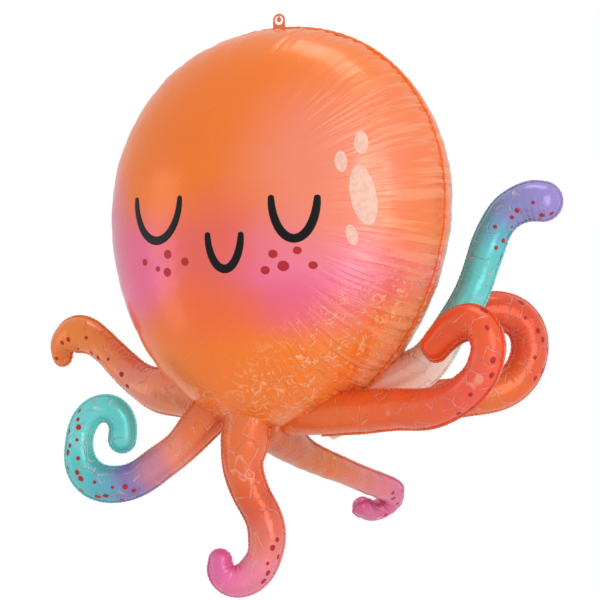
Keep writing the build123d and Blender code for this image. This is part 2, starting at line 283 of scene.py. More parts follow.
def smooth_curve(points, count):
    """A natural cubic spline through rows of numbers, sampled evenly along its length."""
    points = np.asarray(points, float)
    steps = np.linalg.norm(np.diff(points[:, :2], axis=0), axis=1)
    knots = np.concatenate([[0.0], np.cumsum(steps)])
    size = len(points)
    matrix, side = np.eye(size), np.zeros_like(points)
    inner = np.arange(1, size - 1)
    before, after = steps[inner - 1], steps[inner]
    matrix[inner, inner - 1], matrix[inner, inner + 1] = before, after
    matrix[inner, inner] = 2 * (before + after)
    side[1:-1] = 6 * (np.diff(points[1:], axis=0) / after[:, None]
                      - np.diff(points[:-1], axis=0) / before[:, None])
    bend = np.linalg.solve(matrix, side)

    def at(place):
        span = np.clip(np.searchsorted(knots, place, side="right") - 1, 0, size - 2)
        gap, left = steps[span][:, None], (place - knots[span])[:, None]
        right = gap - left
        return ((bend[span] * right ** 3 + bend[span + 1] * left ** 3) / (6 * gap)
                + (points[span] / gap - bend[span] * gap / 6) * right
                + (points[span + 1] / gap - bend[span + 1] * gap / 6) * left)

    fine = at(np.linspace(0, knots[-1], 4000))
    run = np.concatenate([[0], np.cumsum(np.linalg.norm(np.diff(fine[:, :2], axis=0), axis=1))])
    places = np.interp(np.linspace(0, run[-1], count), run, np.linspace(0, knots[-1], 4000))
    return at(places), run[-1]


def eased(value, low, high):
    """0 below low, 1 above high, and a smooth step between."""
    share = np.clip((value - low) / (high - low), 0.0, 1.0)
    return share * share * (3 - 2 * share)


def puckers(along, inward, length, pitch, depth, reach, seed):
    """Height of a film's puckers beside a sealed edge: uneven round bulges, each half a sine wave
    along the edge, with sharp creases between them, dying away exponentially from the edge."""
    count = max(4, int(round(length / pitch)))
    chance = np.random.default_rng(seed)
    borders = (np.arange(count) + chance.uniform(-0.33, 0.33, count)) / count * length
    borders[0] = 0.0
    borders = np.append(borders, length)
    high, further = chance.uniform(0.45, 1.0, count), chance.uniform(0.45, 1.7, count)
    place = np.mod(along, length)
    cell = np.clip(np.searchsorted(borders, place, side="right") - 1, 0, count - 1)
    share = (place - borders[cell]) / (borders[cell + 1] - borders[cell])
    bulge = np.abs(np.sin(math.pi * share)) ** 0.7 - 0.5
    fade = np.exp(-(inward / (reach * further[cell])) ** 1.2)
    common = np.exp(-(inward / reach) ** 1.2)
    shape = np.where(bulge > 0, bulge * high[cell] * fade, bulge * common)
    return depth * shape * eased(inward, 0.0, 7.0)


# ---- the head's surface --------------------------------------------------------------------------
def rounded(share, fullness):
    """Height of a rounded outline at a share of its half-length: (1 - share^n)^(1/n)."""
    return np.maximum(0.0, 1.0 - np.abs(share) ** fullness) ** (1.0 / fullness)


def rim_table():
    """Turns round the rim from the bottom, and the length of rim up to each of them."""
    turn = np.linspace(-math.pi, math.pi, 6001)
    s, h = rim_shares(turn)
    x = s * HALF_WIDTH
    z = h * np.where(h > 0, CROWN_HEIGHT, BOWL_HEIGHT)
    steps = np.hypot(np.diff(x), np.diff(z))
    return turn, np.concatenate([[0.0], np.cumsum(steps)])


def rim_shares(turn):
    """The rim as shares of the half-width and the height, at turns measured from the top."""
    s, h = np.sin(turn), np.cos(turn)
    n = np.where(h > 0, CROWN_FULLNESS, BOWL_FULLNESS)
    size = (np.abs(s) ** n + np.abs(h) ** n) ** (-1.0 / n)
    return s * size, h * size


RIM_TURN, RIM_RUN = rim_table()
RIM_LENGTH = RIM_RUN[-1]


def rim_wave(run):
    """How far the sealed rim waves to the front or back: two uneven sines, still at the hang tab."""
    wave = np.sin(run / 3.1 + 2.0 * np.sin(run / 37.0)) * 0.5 + np.sin(run / 9.7) * 0.6
    return wave * eased(np.abs(run - RIM_LENGTH / 2), 14.0, 40.0)


def lean_at(z):
    """How far the head's upright axis stands to +X at a height."""
    return CROWN_SHIFT + (BOWL_SHIFT - CROWN_SHIFT) * (HEAD_TOP - z) / HEAD_HEIGHT


def head_surface(s, h, side, lift=0.0, with_puckers=True):
    """Points on a head film at shares of the half-width and of the height from the widest level.
    The film is a rounded bowl: its depth is the outline's depth times sqrt(1 - q^2), where q is the
    share of the width at that level. Puckers and long folds are added along the outward direction."""
    n = np.where(h > 0, CROWN_FULLNESS, BOWL_FULLNESS)
    m = np.where(h > 0, CROWN_FULLNESS, BELLY_FULLNESS)
    reach = np.where(h > 0, CROWN_HEIGHT, BOWL_HEIGHT)
    wide = rounded(h, n)
    q = np.clip(np.abs(s) / np.maximum(wide, 1e-9), 0.0, 1.0)
    z = WIDEST_Z + h * reach
    x = lean_at(z) + s * HALF_WIDTH
    y = side * HALF_DEPTH * rounded(h, m) * np.sqrt(1 - q * q)
    outward = np.stack([s / HALF_WIDTH, y / HALF_DEPTH ** 2, h / reach], -1)
    outward /= np.maximum(np.linalg.norm(outward, axis=-1, keepdims=True), 1e-9)
    share = np.clip((np.abs(s) ** n + np.abs(h) ** n) ** (1.0 / n), 0.0, 1.0)
    inward = MEAN_RADIUS * np.arccos(share)
    run = np.interp(np.arctan2(s, h), RIM_TURN, RIM_RUN)
    height = np.zeros_like(inward)
    if with_puckers:
        settings = bpy.context.scene.balloon_head
        seed = 11 if side < 0 else 23
        height = puckers(run, inward, RIM_LENGTH, settings.pucker_pitch, settings.pucker_depth,
                         settings.pucker_reach, seed)
        height = height + puckers(run, inward, RIM_LENGTH, settings.pucker_pitch * 3.1,
                                  settings.fold_depth, settings.pucker_reach * 2.6, seed + 1)
        broad = (np.sin(x / 41.0 + 1.3) * np.sin(z / 53.0) + 0.6 * np.sin((x + z) / 29.0)
                 * np.sin((x - 1.7 * z) / 47.0))
        height = height + 0.55 * broad * eased(inward, 0.0, 60.0)
    points = np.stack([x, y, z], -1) + outward * (height + lift)[..., None]
    points[..., 1] += rim_wave(run) * np.exp(-inward / 9.0)
    return points, run, inward


def shares_at(x, z):
    """The shares of the half-width and the height that head_surface takes, for a place (X, Z)."""
    h = z - WIDEST_Z
    return (x - lean_at(z)) / HALF_WIDTH, h / np.where(h > 0, CROWN_HEIGHT, BOWL_HEIGHT)


def head_film(name, side):
    """One head film as a closed thin shell: its outside from the middle to the rim in rows that
    crowd towards the rim, and its inside a film's thickness behind, in fewer rows."""
    columns, outside, inside = 960, 46, 12
    run = np.linspace(0.0, RIM_LENGTH, columns + 1)
    turn = np.interp(run, RIM_RUN, RIM_TURN)
    s, h = rim_shares(turn[:-1])
    quarter = MEAN_RADIUS * math.pi / 2
    rows_out = quarter * np.linspace(1.0, 0.0, outside + 1)[1:-1] ** 1.7
    rows_out = np.concatenate([[quarter * 0.985], rows_out[rows_out < quarter * 0.97], [0.0]])
    rows_in = quarter * np.linspace(0.0, 1.0, inside + 1)[:-1] ** 1.5
    inward = np.concatenate([rows_out, rows_in])
    lift = np.concatenate([np.zeros(len(rows_out)), np.full(len(rows_in), -FILM_THICKNESS)])
    share = np.cos(inward / MEAN_RADIUS)[:, None]
    points, _, _ = head_surface(share * s[None], share * h[None], side,
                                lift[:, None] * np.ones((1, columns)))
    uv = np.stack(np.broadcast_arrays(run[None], inward[:, None]), -1)
    return skin(name, points, uv)


def printed(x, z, lift):
    """The two sides of a printed patch on the front film, for grids of places (X, Z): its face, and
    its back under the film's face."""
    s, h = shares_at(x, z)
    return [head_surface(s, h, -1, np.full_like(s, up))[0] for up in (lift, lift - 0.32)]


def ellipse_patch(name, x, z, half_x, half_z, lean):
    """A printed ellipse on the front film, leaning by some degrees, as rings round its middle."""
    turn = np.linspace(0.0, 2 * math.pi, 49)[:-1]
    ring = np.array([0.2, 0.4, 0.6, 0.8, 0.93, 1.0])[:, None]
    across, up = ring * half_x * np.cos(turn), ring * half_z * np.sin(turn)
    angle = math.radians(lean)
    face, back = printed(x + across * math.cos(angle) + up * math.sin(angle),
                         z - across * math.sin(angle) + up * math.cos(angle), PRINT_LIFT)
    return skin(name, np.concatenate([face, back[::-1]]))


def stroke_patch(name, middle, top, half_width, drop, width):
    """A printed brush stroke along the lower half of an ellipse, whose width swells from blunt
    ends as a low power of a sine, as nested closed rings round its middle line."""
    turn = np.linspace(math.pi, 2 * math.pi, 13)
    places = np.stack([middle + half_width * np.cos(turn), top + drop * np.sin(turn)], -1)
    line, _ = smooth_curve(places, 97)
    heading = np.gradient(line, axis=0)
    heading /= np.linalg.norm(heading, axis=1, keepdims=True)
    left = np.stack([-heading[:, 1], heading[:, 0]], -1)
    share = np.linspace(0.0, 1.0, len(line))
    half = width / 2 * (0.1 + 0.9 * np.sin(math.pi * share).clip(0.0, 1.0) ** 0.16)
    across = np.stack([line + left * (half * row)[:, None] for row in np.linspace(-1.0, 1.0, 7)], 1)
    face, back = printed(across[..., 0], across[..., 1], PRINT_LIFT + 0.02)
    return skin(name, np.concatenate([face, back[:, ::-1]], axis=1))


# ---- the arms' surfaces --------------------------------------------------------------------------
class ArmShape:
    """An arm's centre line and its directions: hinge, the plane's out and rise, and the samples."""

    def __init__(self, name):
        heading, tilt, path, _ = ARMS[name]
        joint = next(j for j in frame["joints"] if j["child"] == name + "_arm")
        self.hinge = np.array(joint["pos_m"]) * 1000.0
        a, t = math.radians(heading), math.radians(tilt)
        self.out = np.array([math.cos(a), math.sin(a), 0.0])
        side = np.array([math.sin(a), -math.cos(a), 0.0])
        self.rise = np.array([0.0, 0.0, math.cos(t)]) + side * math.sin(t)
        self.side = np.cross(self.out, self.rise)
        path = np.array(path, float)
        start = path[1, :2] - path[0, :2]
        start /= np.linalg.norm(start)
        self.start = start
        inner = [np.append(path[0, :2] - start * back, path[0, 2] + grow)
                 for back, grow in ((HINGE_RUN, 4.0), (70.0, 3.5), (35.0, 2.0))]
        line, self.length = smooth_curve(np.concatenate([inner, path]), 500)
        self.line, self.radius = line[:, :2], line[:, 2]
        self.run = np.linspace(0.0, self.length, 500)
        ahead = np.gradient(self.line, axis=0)
        self.ahead = ahead / np.linalg.norm(ahead, axis=1, keepdims=True)
        turn = np.unwrap(np.arctan2(self.ahead[:, 1], self.ahead[:, 0]))
        self.bend = np.gradient(turn, self.run)
        self.whole = self.length + self.radius[-1] * math.pi / 2

    def at(self, run):
        """Centre, heading, radius and bend at lengths along the arm, the rounded tip included."""
        inside = np.clip(run, 0.0, self.length)
        centre = np.stack([np.interp(inside, self.run, self.line[:, k]) for k in (0, 1)], -1)
        ahead = np.stack([np.interp(inside, self.run, self.ahead[:, k]) for k in (0, 1)], -1)
        ahead /= np.linalg.norm(ahead, axis=-1, keepdims=True)
        radius = np.interp(inside, self.run, self.radius)
        bend = np.interp(inside, self.run, self.bend)
        over = np.maximum(run - self.length, 0.0) / self.radius[-1]
        centre = centre + ahead * (self.radius[-1] * np.sin(np.minimum(over, math.pi / 2)))[..., None]
        return centre, ahead, radius * np.cos(np.minimum(over, math.pi / 2)), bend

    def place(self, flat, aside):
        """Model points from places in the arm's plane and distances to the plane's side."""
        return (self.hinge + flat[..., :1] * self.out + flat[..., 1:] * self.rise
                + aside[..., None] * self.side)

    def surface(self, run, angle, lift=0.0):
        """Points on the arm's film: a tube whose radius swells and shrinks along the line, pinched
        into puckers beside both sealed edges, deepest where an edge is on the inside of a bend."""
        settings = bpy.context.scene.balloon_arms
        centre, ahead, radius, bend = self.at(run)
        left = np.stack([-ahead[..., 1], ahead[..., 0]], -1)
        near_left = np.arccos(np.clip(np.cos(angle), -1.0, 1.0))
        height = np.zeros(np.broadcast(run, angle).shape)
        full = np.maximum(radius, 1.0)
        for edge, (seed, apart, sign) in enumerate(((5, near_left, 1.0),
                                                    (9, math.pi - near_left, -1.0))):
            inner = np.clip(bend * full * sign, 0.0, 1.0)
            size = settings.pucker_depth * (0.28 + 1.3 * inner)
            far = full * (0.42 + 0.5 * inner)
            height = height + size * puckers(run, apart * full, self.whole,
                                             settings.pucker_pitch * (1.0 + 0.25 * edge), 1.0, far, seed)
        waves = 0.35 * np.sin(run / 9.0 + 2.0 * np.sin(run / 31.0) + 2.2 * np.cos(angle))
        height = (height + waves * eased(radius, 0.0, 12.0)) * eased(radius, 0.0, 9.0)
        reach = radius + height + lift
        flat = centre + left * (reach * np.cos(angle))[..., None]
        return self.place(flat, reach * np.sin(angle))


def arm_film(name):
    """An arm's film as one closed tube: rows from its root inside the head to its rounded tip."""
    shape = ArmShape(name)
    rows = np.concatenate([np.linspace(0.0, shape.length, 400),
                           shape.length + shape.radius[-1] * np.linspace(0.05, 1.52, 16)])
    angle = np.linspace(0.0, 2 * math.pi, 61)
    run, turn = np.meshgrid(rows, angle[:-1], indexing="ij")
    uv = np.stack(np.broadcast_arrays(rows[:, None], angle[None] * 25.0), -1)
    return skin(name + "_film", shape.surface(run, turn), uv), shape


def arm_seam(name, shape):
    """An arm's sealed edge as one thin closed strip down one side, round the tip and back up the
    other side, waved to and fro by uneven sines."""
    settings = bpy.context.scene.balloon_arms
    first = HINGE_RUN - 34.0
    down = np.linspace(first, shape.length, 420)
    centre, ahead, radius, _ = shape.at(down)
    left = np.stack([-ahead[:, 1], ahead[:, 0]], -1)
    turn = np.linspace(math.pi / 2, -math.pi / 2, 50)[1:-1]
    round_tip = np.cos(turn)[:, None] * ahead[-1] + np.sin(turn)[:, None] * left[-1]
    middle = np.concatenate([centre, np.repeat(centre[-1:], len(turn), axis=0), centre[::-1]])
    away = np.concatenate([left, round_tip, -left[::-1]])
    reach = np.concatenate([radius, np.full(len(turn), radius[-1]), radius[::-1]])
    line = middle + away * reach[:, None]
    run = np.concatenate([[0.0], np.cumsum(np.linalg.norm(np.diff(line, axis=0), axis=1))])
    wave = 0.45 * np.sin(run / 1.25 + 2.0 * np.sin(run / 17.0)) + 0.4 * np.sin(run / 4.3)
    notch = 0.35 * np.sin(run / 0.9) * np.sin(run / 7.0)
    inner, outer, half = reach - 1.6, reach + settings.edge_width + notch, 0.22
    strip = []
    for place, aside in ((inner, half), (outer, half), (outer, -half), (inner, -half)):
        swing = wave * (place - inner) / (settings.edge_width + 1.6) + aside
        strip.append(shape.place(middle + away * place[:, None], swing))
    along = np.concatenate([down, np.full(len(turn), shape.length), down[::-1]])
    uv = np.stack(np.broadcast_arrays(along[:, None], np.linspace(0, 8, 5)[None]), -1)
    return skin(name + "_seam", np.stack(strip, 1), uv)


def arm_dots(name, shape):
    """Printed dots, evenly spaced along the arm, that swing from side to side of their band as a
    sine and whose radius varies as another sine."""
    first, last, middle, spread, count = DOTS[name]
    turn = np.linspace(0.0, 2 * math.pi, 33)[:-1]
    ring = np.array([0.25, 0.5, 0.75, 1.0])[:, None]
    pieces = []
    for k in range(count):
        share = first + (last - first) * (k + 0.5) / count
        size = DOT_RADIUS + DOT_VARIATION * math.sin(1.7 * k)
        angle = math.radians(middle + spread * math.sin(2.4 * k))
        place = HINGE_RUN + share * (shape.whole - HINGE_RUN)
        thick = float(shape.at(np.array([place]))[2][0])
        run = place + ring * size * np.cos(turn)
        around = angle + ring * size * np.sin(turn) / thick
        face, back = shape.surface(run, around, 0.25), shape.surface(run, around, -0.15)
        pieces.append(skin(f"{name}_dot_{k + 1}", np.concatenate([face, back[::-1]])))
    return pieces


# ---- materials -----------------------------------------------------------------------------------
def linear(text):
    """Linear colour of an sRGB hex text."""
    value = np.array([int(text[k:k + 2], 16) for k in (0, 2, 4)]) / 255.0
    value = np.where(value <= 0.04045, value / 12.92, ((value + 0.055) / 1.055) ** 2.4)
    return (*[float(v) for v in value], 1.0)


def node(tree, kind, values=(), **options):
    """Adds a node, sets its options, and sets or links its inputs by name or number."""
    made = tree.nodes.new(kind)
    for key, value in options.items():
        setattr(made, key, value)
    for key, value in dict(values).items():
        socket = made.inputs[key]
        if isinstance(value, bpy.types.NodeSocket):
            tree.links.new(value, socket)
        else:
            socket.default_value = value
    return made


def new_material(name, colour, roughness, metallic=0.0):
    """A material with one Principled shader, and that shader."""
    material = bpy.data.materials.new(name)
    material.use_nodes = True
    tree = material.node_tree
    shader = tree.nodes["Principled BSDF"]
    shader.inputs["Base Color"].default_value = colour
    shader.inputs["Roughness"].default_value = roughness
    shader.inputs["Metallic"].default_value = metallic
    shader.inputs["IOR"].default_value = 1.5
    shader.inputs["Specular IOR Level"].default_value = 0.35
    material.diffuse_color = colour
    return material, tree, shader


def math_node(tree, operation, a, b=0.0):
    """The result of a math node on two values or sockets."""
    return node(tree, "ShaderNodeMath", {0: a, 1: b}, operation=operation).outputs[0]


def vector_node(tree, operation, a, b=(0.0, 0.0, 0.0)):
    """The vector that a vector math node makes of two vectors or sockets."""
    return node(tree, "ShaderNodeVectorMath", {0: a, 1: b}, operation=operation).outputs[0]


def noise(tree, vector, scale, detail):
    """A noise texture node."""
    return node(tree, "ShaderNodeTexNoise", {"Vector": vector, "Scale": scale, "Detail": detail})


def object_place(tree):
    """The place on the object, in metres."""
    return node(tree, "ShaderNodeTexCoord").outputs["Object"]


def film_place(tree):
    """The place on the film: X runs along its sealed edge and Y in from it, in metres."""
    return node(tree, "ShaderNodeUVMap", uv_map="UVMap").outputs["UV"]


def coated(shader, weight, roughness):
    """A clear gloss coat over the ink."""
    shader.inputs["Coat Weight"].default_value = weight
    shader.inputs["Coat Roughness"].default_value = roughness


def ranged(tree, value, low, high, to_low=0.0, to_high=1.0):
    """A value mapped by a smooth step from one range to another."""
    return node(tree, "ShaderNodeMapRange",
                {"Value": value, "From Min": low, "From Max": high, "To Min": to_low,
                 "To Max": to_high}, interpolation_type="SMOOTHSTEP").outputs[0]


def mixed(tree, factor, first, second):
    """Two colours mixed by a factor."""
    made = node(tree, "ShaderNodeMix", data_type="RGBA")
    for key, value in (("Factor_Float", factor), ("A_Color", first), ("B_Color", second)):
        socket = next(s for s in made.inputs if s.identifier == key)
        if isinstance(value, bpy.types.NodeSocket):
            tree.links.new(value, socket)
        else:
            socket.default_value = value
    return next(s for s in made.outputs if s.identifier == "Result_Color")


def bumped(tree, shader, layers, normal=None):
    """Stacks bump layers (height, distance in metres) and feeds the last into the shader."""
    for height, distance in layers:
        values = {"Height": height, "Distance": distance, "Strength": 1.0}
        if normal is not None:
            values["Normal"] = normal
        normal = node(tree, "ShaderNodeBump", values).outputs["Normal"]
    tree.links.new(normal, shader.inputs["Normal"])


def creases(tree, vector, scale, width):
    """Crease lines where straight-sided cells meet: 0 on a line, 1 away from it. The cells are
    skewed by a slow noise so that no two lines are parallel, and a patchy noise rubs most of the
    lines out, so that single short creases are left."""
    drift = noise(tree, vector, scale * 0.55, 1.0)
    shift = vector_node(tree, "MULTIPLY", drift.outputs["Color"], (0.026, 0.026, 0.026))
    place = vector_node(tree, "ADD", vector, shift)
    cells = node(tree, "ShaderNodeTexVoronoi", {"Vector": place, "Scale": scale},
                 feature="DISTANCE_TO_EDGE")
    away = ranged(tree, cells.outputs["Distance"], 0.0, width)
    patchy = noise(tree, vector, scale * 0.9, 1.0)
    return math_node(tree, "MAXIMUM", away, ranged(tree, patchy.outputs["Fac"], 0.58, 0.46))


def head_film_material():
    """Printed metallised film of the head: orange ink with soft rose, pink and salmon clouds. The
    metal under the ink gives tight bright streaks, a clear coat gives the gloss, and pleats beside
    the rim and shallow crumples below break the reflections up. The crumple ridges, and the pleat
    ridges on the right in the band where the key light reflects, are also mixed towards pale
    peach: a painted highlight."""
    settings = bpy.context.scene.balloon_head
    base = (*settings.film_colour, 1.0)
    material, tree, shader = new_material("printed_metallised_film_head", base, 0.3, 0.16)
    coords = object_place(tree)
    uv = film_place(tree)
    wander = noise(tree, coords, 7.0, 2.0)
    shift = vector_node(tree, "ADD", wander.outputs["Color"], (-0.5, -0.5, -0.5))
    shift = vector_node(tree, "MULTIPLY", shift, (0.07, 0.07, 0.07))
    soft = vector_node(tree, "ADD", coords, shift)
    colour = base
    clouds = (("E8605C", 0.0, -0.352, 0.215, 0.085, 0.85), ("EC6496", -0.175, -0.372, 0.10, 0.08, 0.9),
              ("EE6EA0", 0.135, -0.368, 0.115, 0.075, 0.95), ("F28A74", 0.15, -0.24, 0.13, 0.15, 0.8),
              ("D66C94", -0.26, -0.33, 0.07, 0.12, 0.8),
              ("E8587A", 0.11, -0.43, 0.09, 0.05, 0.6), ("F0603A", -0.03, -0.44, 0.10, 0.05, 0.5))
    for text, x, z, wide, tall, strength in clouds:
        local = node(tree, "ShaderNodeMapping",
                     {"Vector": soft, "Location": (x, 0.0, z), "Scale": (wide, 1.0, tall)},
                     vector_type="TEXTURE").outputs[0]
        flat = vector_node(tree, "MULTIPLY", local, (1.0, 0.0, 1.0))
        far = node(tree, "ShaderNodeVectorMath", {0: flat}, operation="LENGTH").outputs["Value"]
        factor = ranged(tree, far, 0.25, 1.35, strength, 0.0)
        colour = mixed(tree, factor, colour, linear(text))
    coated(shader, 0.25, 0.09)
    split = node(tree, "ShaderNodeSeparateXYZ", {0: uv})
    height_of = node(tree, "ShaderNodeSeparateXYZ", {0: coords})
    thin = node(tree, "ShaderNodeMapping", {"Vector": uv, "Scale": (95.0, 7.0, 1.0)}).outputs[0]
    pleats = noise(tree, thin, 1.0, 2.0)
    near_rim = ranged(tree, split.outputs["Y"], 0.10, 0.27, 1.0, 0.0)
    sharp = ranged(tree, pleats.outputs["Fac"], 0.40, 0.62)
    on_right = ranged(tree, height_of.outputs["X"], -0.02, 0.12, 0.1, 1.0)
    under_crown = ranged(tree, height_of.outputs["Z"], -0.14, -0.07, 1.0, 0.25)
    placed = math_node(tree, "MULTIPLY", near_rim, math_node(tree, "MULTIPLY", on_right, under_crown))
    pleat = math_node(tree, "MULTIPLY", sharp, placed)
    # Crumples gather low down, and climb higher on the side where the largest arms pull.
    slope = math_node(tree, "MULTIPLY", height_of.outputs["X"], -0.75)
    pulled = ranged(tree, math_node(tree, "ADD", height_of.outputs["Z"], slope), -0.50, -0.58)
    low = math_node(tree, "MAXIMUM", pulled, ranged(tree, height_of.outputs["Z"], -0.53, -0.58))
    squiggle = node(tree, "ShaderNodeTexNoise",
                    {"Vector": coords, "Scale": 34.0, "Detail": 3.0, "Distortion": 1.6})
    off_ridge = math_node(tree, "ABSOLUTE", math_node(tree, "SUBTRACT", squiggle.outputs["Fac"], 0.5))
    ridge = ranged(tree, off_ridge, 0.0, 0.035, 1.0, 0.0)
    crumple = math_node(tree, "MULTIPLY", ridge, low)
    # The crumple ridges and the right-hand pleat ridges are mixed towards pale peach (FFC9A0): painted
    # highlight, standing in for the light that these ridges would catch.
    pale = math_node(tree, "MULTIPLY", crumple, 0.5)
    painted_pleat_highlight = math_node(tree, "MULTIPLY", pleat, ranged(tree, height_of.outputs["X"], 0.08, 0.2, 0.0, 0.2))
    pale = math_node(tree, "MAXIMUM", pale, painted_pleat_highlight)
    tree.links.new(mixed(tree, pale, colour, linear("FFC9A0")), shader.inputs["Base Color"])
    slack = noise(tree, coords, 26.0, 2.0)
    sag = math_node(tree, "MULTIPLY", slack.outputs["Fac"], low)
    grain = noise(tree, coords, 420.0, 1.0)
    rough = ranged(tree, slack.outputs["Fac"], 0.3, 0.7, 0.24, 0.34)
    tree.links.new(rough, shader.inputs["Roughness"])
    bumped(tree, shader, ((sag, 0.0035), (pleat, 0.0013), (crumple, 0.0005),
                          (grain.outputs["Fac"], 0.00003)))
    return material


def arm_film_material(name, colours, length):
    """Printed metallised film of an arm: its inks run into each other from root to tip, and short
    creases, about 28 mm apart, are bumped into the film and mixed towards pale pink: a painted
    highlight on their ridges."""
    material, tree, shader = new_material("printed_metallised_film_" + name, linear(colours[0]),
                                          0.3, 0.2)
    settings = bpy.context.scene.balloon_arms
    uv = film_place(tree)
    coords = object_place(tree)
    wander = noise(tree, coords, 18.0, 1.0)
    along = node(tree, "ShaderNodeSeparateXYZ", {0: uv}).outputs["X"]
    drift = math_node(tree, "MULTIPLY", math_node(tree, "SUBTRACT", wander.outputs["Fac"], 0.5), 0.05)
    place = math_node(tree, "ADD", along, drift)
    share = node(tree, "ShaderNodeMapRange",
                 {"Value": place, "From Min": HINGE_RUN / 1000.0, "From Max": length / 1000.0}).outputs[0]
    ramp = node(tree, "ShaderNodeValToRGB", {"Fac": share})
    ramp.color_ramp.interpolation = "EASE"
    stops = ramp.color_ramp.elements
    stops[0].color, stops[1].color = linear(colours[0]), linear(colours[-1])
    for k, text in enumerate(colours[1:-1], start=1):
        stops.new(k / (len(colours) - 1)).color = linear(text)
    lines = creases(tree, coords, 36.0, 0.05)
    # The crease lines are mixed towards pale pink (FFD9CC): painted highlight where their ridges would
    # catch the light.
    pale = math_node(tree, "MULTIPLY", math_node(tree, "SUBTRACT", 1.0, lines), 0.24)
    colour = mixed(tree, pale, ramp.outputs["Color"], linear("FFD9CC"))
    tree.links.new(colour, shader.inputs["Base Color"])
    coated(shader, 0.2, 0.1)
    slack = noise(tree, coords, 34.0, 2.0)
    thin = node(tree, "ShaderNodeMapping", {"Vector": uv, "Scale": (150.0, 34.0, 1.0)}).outputs[0]
    pleats = noise(tree, thin, 1.0, 1.0)
    rough = ranged(tree, slack.outputs["Fac"], 0.3, 0.7, 0.24, 0.36)
    tree.links.new(rough, shader.inputs["Roughness"])
    bumped(tree, shader, ((slack.outputs["Fac"], 0.0022), (pleats.outputs["Fac"], 0.0007),
                          (lines, settings.crease_depth)))
    return material


def sealed_film_material(name, colour):
    """Heat-sealed film: two films welded flat, duller than the gas-filled film, with the fine
    cross ribs that the sealing bar leaves every 1.2 mm."""
    material, tree, shader = new_material(name, colour, 0.42, 0.3)
    uv = film_place(tree)
    along = node(tree, "ShaderNodeSeparateXYZ", {0: uv}).outputs["X"]
    ribs = math_node(tree, "SINE", math_node(tree, "MULTIPLY", along, 5200.0))
    coords = object_place(tree)
    blotch = noise(tree, coords, 90.0, 1.0)
    tree.links.new(ranged(tree, blotch.outputs["Fac"], 0.3, 0.7, 0.34, 0.5), shader.inputs["Roughness"])
    shader.inputs["Coat Weight"].default_value = 0.25
    bumped(tree, shader, ((ribs, 0.00012), (blotch.outputs["Fac"], 0.0004)))
    return material


def ink_material(name, colour, gloss=0.1):
    """Printed ink on the film: a thin even layer under the same clear coat, with a faint mottle."""
    material, tree, shader = new_material(name, colour, 0.4)
    shader.inputs["Specular IOR Level"].default_value = 0.2
    coords = object_place(tree)
    mottle = noise(tree, coords, 160.0, 2.0)
    darker = tuple(0.86 * c for c in colour[:3]) + (1.0,)
    tree.links.new(mixed(tree, ranged(tree, mottle.outputs["Fac"], 0.35, 0.65), darker, colour),
                   shader.inputs["Base Color"])
    coated(shader, gloss, 0.1)
    return material


def clear_film_material():
    """Polyethylene valve film: milky, slightly see-through, with long soft creases."""
    material, tree, shader = new_material("polyethylene_valve_film", linear("DCDEDF"), 0.3)
    coords = object_place(tree)
    long_way = node(tree, "ShaderNodeMapping", {"Vector": coords, "Scale": (260.0, 260.0, 14.0)})
    folds = node(tree, "ShaderNodeTexNoise", {"Vector": long_way.outputs[0], "Scale": 1.0})
    shader.inputs["Transmission Weight"].default_value = 0.35
    bumped(tree, shader, ((folds.outputs["Fac"], 0.0006),))
    return material


def put(piece, material, body, nodes=()):
    """Gives a piece its material and its body, and hides the frame nodes that it stands for."""
    piece.data.materials.append(material)
    if body:
        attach(piece, body)
    if nodes:
        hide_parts(*nodes)
    return piece


# ---- operators -----------------------------------------------------------------------------------
class BALLOON_OT_head_films(bpy.types.Operator):
    """Build the two printed head films, with their puckers and folds"""
    bl_idname = "balloon.head_films"
    bl_label = "Head films"

    def execute(self, context):
        material = head_film_material()
        put(head_film("head_film_front", -1), material, "head", ["head_front_panel"])
        put(head_film("head_film_back", 1), material, "head", ["head_back_panel"])
        return {"FINISHED"}


class BALLOON_OT_head_rim(bpy.types.Operator):
    """Build the heat-sealed rim: a thin closed ring that waves with the puckers"""
    bl_idname = "balloon.head_rim"
    bl_label = "Head rim"

    def execute(self, context):
        settings = context.scene.balloon_head
        run = np.linspace(0.0, RIM_LENGTH, 1441)
        s, h = rim_shares(np.interp(run[:-1], RIM_RUN, RIM_TURN))
        edge, _, _ = head_surface(s, h, -1, np.zeros_like(s), with_puckers=False)
        ahead = np.roll(edge, -1, axis=0) - np.roll(edge, 1, axis=0)
        away = np.stack([-ahead[:, 2], np.zeros_like(s), ahead[:, 0]], -1)
        away /= np.linalg.norm(away, axis=1, keepdims=True)
        level = np.array([0.0, 0.0, WIDEST_Z])
        away *= np.sign(((edge - level) * away).sum(axis=1, keepdims=True))
        width = settings.rim_width - 0.5 + 0.35 * np.sin(run[:-1] / 2.3) * np.sin(run[:-1] / 11.0)
        flutter = 0.5 * np.sin(run[:-1] / 1.9 + 2.0 * np.sin(run[:-1] / 23.0))
        flutter *= eased(np.abs(run[:-1] - RIM_LENGTH / 2), 14.0, 40.0)
        corners = []
        for reach, side in ((-2.2, 0.26), (width, 0.26), (width, -0.26), (-2.2, -0.26)):
            corner = edge + away * np.broadcast_to(reach, s.shape)[:, None]
            corner[:, 1] += side + flutter * (np.broadcast_to(reach, s.shape) > 0)
            corners.append(corner)
        uv = np.stack(np.broadcast_arrays(np.append(run[:-1], run[-1])[:, None],
                                          np.linspace(0, 16, 5)[None]), -1)
        piece = skin("head_rim", np.stack(corners, 1), uv, poles=False)
        film = bpy.data.materials.get("printed_metallised_film_head") or head_film_material()
        put(piece, film, "head", ["head_rim_seam"])
        return {"FINISHED"}


